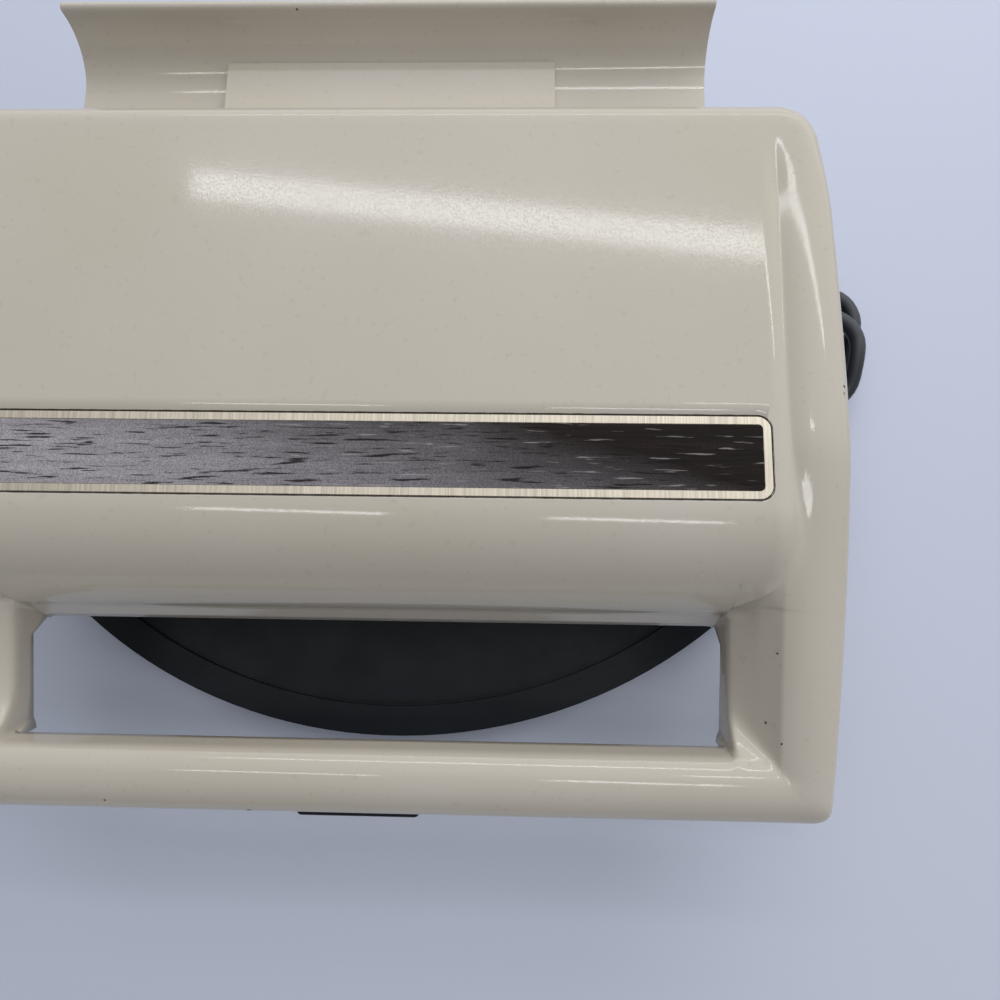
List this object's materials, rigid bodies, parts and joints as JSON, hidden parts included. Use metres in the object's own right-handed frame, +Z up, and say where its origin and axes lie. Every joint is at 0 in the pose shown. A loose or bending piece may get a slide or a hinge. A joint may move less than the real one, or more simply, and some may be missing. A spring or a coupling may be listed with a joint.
{
  "type": "sandwich toaster",
  "caption": "Countertop sandwich toaster: a lid with a loop handle swings up on a rear hinge over cooking plates with triangular sealed pockets; the mains cord is folded beside it.",
  "frame": {"origin": "on the table, below the middle of the body's bounding box, without the mains cord", "axes": "+Z up, +Y towards the rear hinge and gutter, the handle towards -Y, +X to the right when seen from the handle's side"},
  "size_m": [0.3468, 0.3094, 0.1042],
  "materials": {
    "almond_gloss": "almond coloured gloss, warm grey beige",
    "black_phenolic": "moulded black phenolic, low sheen",
    "nonstick_cast": "cast aluminium under a dark non-stick coating",
    "sheath_steel": "dull heater sheath",
    "zinc_steel": "zinc plated",
    "hinge_steel": "plated steel",
    "reflector_aluminium": "bright rolled sheet",
    "badge_aluminium": "fine brushed, champagne tint",
    "walnut_print": "dark wood grain print with a soft sheen",
    "ceramic": "glazed steatite",
    "lead_insulation": "braided glass sleeve over wire",
    "foot_rubber": "matt",
    "cord_rubber": "smooth black mains cord",
    "tie_wrap": "ribbed strap",
    "plug_vinyl": "moulded vinyl",
    "blade_brass": "plated brass"
  },
  "bodies": {
    "base": {"base_pan": "black_phenolic", "rubber_feet": "foot_rubber", "housing_screws": "zinc_steel", "lower_housing": "almond_gloss", "lower_plate": "nonstick_cast", "lower_plate_screws": "zinc_steel", "lower_element": "sheath_steel", "lower_element_clips": "zinc_steel", "lower_reflector": "reflector_aluminium", "lower_reflector_screws": "zinc_steel", "thermostat": "reflector_aluminium", "terminal_block": "ceramic", "base_leads": "lead_insulation", "hinge_pin": "hinge_steel", "pin_clips": "hinge_steel", "strain_relief": "cord_rubber", "cord_lead": "cord_rubber", "cord_hank": "cord_rubber", "cord_tie": "tie_wrap", "cord_tail": "cord_rubber", "plug_body": "plug_vinyl", "plug_blades": "blade_brass"},
    "lid": {"lid_shell": "almond_gloss", "badge_plate": "badge_aluminium", "badge_inlay": "walnut_print", "handle_liner": "black_phenolic", "lid_frame": "black_phenolic", "inner_trim_screws": "zinc_steel", "lid_hinge_lugs": "hinge_steel", "lug_screws": "zinc_steel", "upper_plate": "nonstick_cast", "upper_plate_screws": "zinc_steel", "upper_element": "sheath_steel", "upper_element_clips": "zinc_steel", "upper_reflector": "reflector_aluminium", "upper_reflector_screws": "zinc_steel", "lid_leads": "lead_insulation"}
  },
  "joints": [
    {"name": "lid_hinge", "type": "hinge", "parent": "base", "child": "lid", "pos_m": [0, 0.101, 0.0755], "axis": [-1, 0, 0], "range_deg": [0, 96]}
  ]
}
